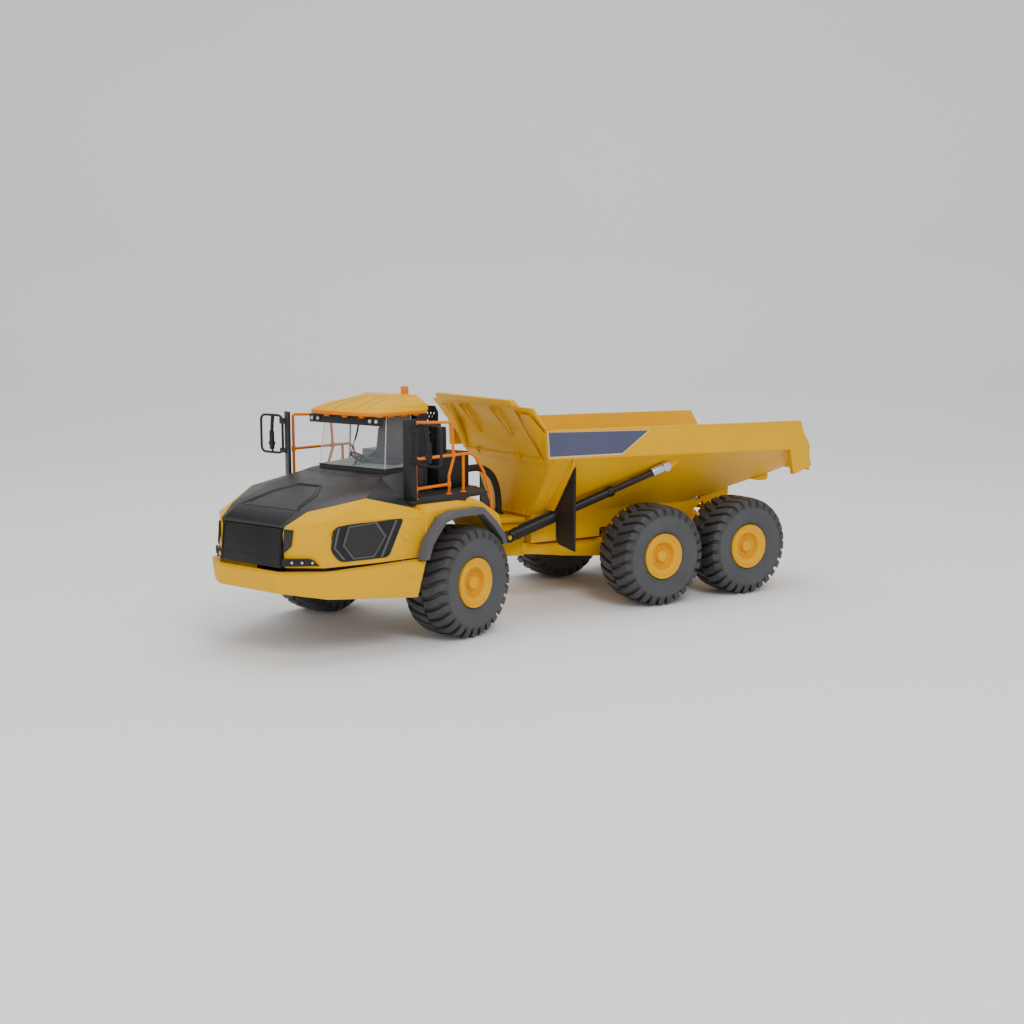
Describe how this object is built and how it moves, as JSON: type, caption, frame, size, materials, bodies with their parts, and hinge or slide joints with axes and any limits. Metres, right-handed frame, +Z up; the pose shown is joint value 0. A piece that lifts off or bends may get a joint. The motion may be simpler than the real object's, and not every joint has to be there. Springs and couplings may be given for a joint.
{
  "type": "toy articulated dump truck",
  "caption": "Toy articulated dump truck with a bending middle, tipping bed on telescopic rams, tilting hood and freely rolling wheels.",
  "frame": {"origin": "on the ground under the middle of the model's box, as it stands bent to its left", "axes": "+X towards the front along the rear unit, +Y to the rear unit's left, +Z up"},
  "size_m": [0.7208, 0.2868, 0.2461],
  "materials": {
    "black": "moulded black",
    "glass": "clear",
    "grey": "moulded dark grey",
    "orange": "moulded orange",
    "silver": "silver",
    "slate": "moulded grey green",
    "tyre": "matt rubber",
    "yellow": "satin moulded yellow"
  },
  "bodies": {
    "rear_unit": {"bogie_beam_left": "black", "bogie_beam_right": "black", "middle_axle": "black", "rear_axle": "black", "rear_frame": "yellow"},
    "hitch": {"hitch": "black"},
    "front_unit": {"air_box": "black", "beacon": "orange", "cab_deck": "black", "cab_roof": "yellow", "cab_shell": "black", "dashboard": "slate", "engine_block": "grey", "exhaust_guard": "black", "fender_flare_left": "grey", "fender_flare_right": "grey", "fender_left": "yellow", "fender_right": "yellow", "front_axle": "black", "front_bumper": "yellow", "front_frame": "black", "handrail_left": "orange", "handrail_right": "orange", "hose": "black", "light_bar": "black", "mirror_left": "black", "mirror_right": "black", "rear_glass": "glass", "seat": "grey", "side_glass_left": "glass", "side_glass_right": "glass", "steering_wheel": "black", "windscreen": "glass"},
    "engine_hood": {"grille": "black", "hood_side_left": "yellow", "hood_side_right": "yellow", "hood_top": "black"},
    "dump_bed": {"bed": "yellow", "mudflap_left": "black", "mudflap_right": "black"},
    "cylinder_barrel_left": {"cylinder_barrel_left": "black"},
    "cylinder_tube_left": {"cylinder_tube_left": "black"},
    "cylinder_rod_left": {"cylinder_rod_left": "silver"},
    "cylinder_barrel_right": {"cylinder_barrel_right": "black"},
    "cylinder_tube_right": {"cylinder_tube_right": "black"},
    "cylinder_rod_right": {"cylinder_rod_right": "silver"},
    "wheel_front_left": {"tyre_front_left": "tyre", "rim_front_left": "yellow"},
    "wheel_front_right": {"tyre_front_right": "tyre", "rim_front_right": "yellow"},
    "wheel_middle_left": {"tyre_middle_left": "tyre", "rim_middle_left": "yellow"},
    "wheel_middle_right": {"tyre_middle_right": "tyre", "rim_middle_right": "yellow"},
    "wheel_rear_left": {"tyre_rear_left": "tyre", "rim_rear_left": "yellow"},
    "wheel_rear_right": {"tyre_rear_right": "tyre", "rim_rear_right": "yellow"}
  },
  "joints": [
    {"name": "wheel_front_left_spin", "type": "hinge", "parent": "front_unit", "child": "wheel_front_left", "pos_m": [0.1301, 0.09505, 0.0555], "axis": [-0.3364, 0.9417, 0], "continuous": true},
    {"name": "wheel_front_right_spin", "type": "hinge", "parent": "front_unit", "child": "wheel_front_right", "pos_m": [0.1947, -0.08576, 0.0555], "axis": [-0.3364, 0.9417, 0], "continuous": true},
    {"name": "wheel_middle_left_spin", "type": "hinge", "parent": "rear_unit", "child": "wheel_middle_left", "pos_m": [-0.12815, 0.07501, 0.0555], "axis": [0, 1, 0], "continuous": true},
    {"name": "wheel_middle_right_spin", "type": "hinge", "parent": "rear_unit", "child": "wheel_middle_right", "pos_m": [-0.12815, -0.11699, 0.0555], "axis": [0, 1, 0], "continuous": true},
    {"name": "wheel_rear_left_spin", "type": "hinge", "parent": "rear_unit", "child": "wheel_rear_left", "pos_m": [-0.25076, 0.07501, 0.0555], "axis": [0, 1, 0], "continuous": true},
    {"name": "wheel_rear_right_spin", "type": "hinge", "parent": "rear_unit", "child": "wheel_rear_right", "pos_m": [-0.25076, -0.11699, 0.0555], "axis": [0, 1, 0], "continuous": true},
    {"name": "hitch_roll", "type": "hinge", "parent": "rear_unit", "child": "hitch", "pos_m": [0.05065, -0.02099, 0.072], "axis": [1, 0, 0], "range_deg": [-12, 12]},
    {"name": "steering", "type": "hinge", "parent": "hitch", "child": "front_unit", "pos_m": [0.09065, -0.02099, 0.072], "axis": [0, 0, 1], "range_deg": [-64.66, 25.34], "deforming": ["hose"]},
    {"name": "hood_tilt", "type": "hinge", "parent": "front_unit", "child": "engine_hood", "pos_m": [0.33803, 0.06739, 0.0886], "axis": [-0.3364, 0.9417, 0], "range_deg": [0, 60]},
    {"name": "bed_tip", "type": "hinge", "parent": "rear_unit", "child": "dump_bed", "pos_m": [-0.26736, -0.02099, 0.088], "axis": [0, -1, 0], "range_deg": [0, 60]},
    {"name": "cylinder_left_swing", "type": "hinge", "parent": "rear_unit", "child": "cylinder_barrel_left", "pos_m": [0.02364, 0.01901, 0.079], "axis": [0.4596, 0.508, 0.7285], "range_deg": [0, 8.12]},
    {"name": "cylinder_left_tube", "type": "slide", "parent": "cylinder_barrel_left", "child": "cylinder_tube_left", "axis": [-0.888, 0.2761, 0.3678], "range_m": [0, 0.0443]},
    {"name": "cylinder_left_rod", "type": "slide", "parent": "cylinder_tube_left", "child": "cylinder_rod_left", "axis": [-0.888, 0.2761, 0.3678], "range_m": [0, 0.0861]},
    {"name": "cylinder_right_swing", "type": "hinge", "parent": "rear_unit", "child": "cylinder_barrel_right", "pos_m": [0.02364, -0.06099, 0.079], "axis": [-0.4596, 0.508, -0.7285], "range_deg": [0, 8.12]},
    {"name": "cylinder_right_tube", "type": "slide", "parent": "cylinder_barrel_right", "child": "cylinder_tube_right", "axis": [-0.888, -0.2761, 0.3678], "range_m": [0, 0.0443]},
    {"name": "cylinder_right_rod", "type": "slide", "parent": "cylinder_tube_right", "child": "cylinder_rod_right", "axis": [-0.888, -0.2761, 0.3678], "range_m": [0, 0.0861]}
  ],
  "couplings": [
    {"joint": "cylinder_left_swing", "follows": "bed_tip", "ratio": 0.12699},
    {"joint": "cylinder_left_tube", "follows": "bed_tip", "m_per_rad": 0.042017},
    {"joint": "cylinder_left_rod", "follows": "bed_tip", "m_per_rad": 0.081937},
    {"joint": "cylinder_right_swing", "follows": "bed_tip", "ratio": 0.12699},
    {"joint": "cylinder_right_tube", "follows": "bed_tip", "m_per_rad": 0.042017},
    {"joint": "cylinder_right_rod", "follows": "bed_tip", "m_per_rad": 0.081937}
  ]
}
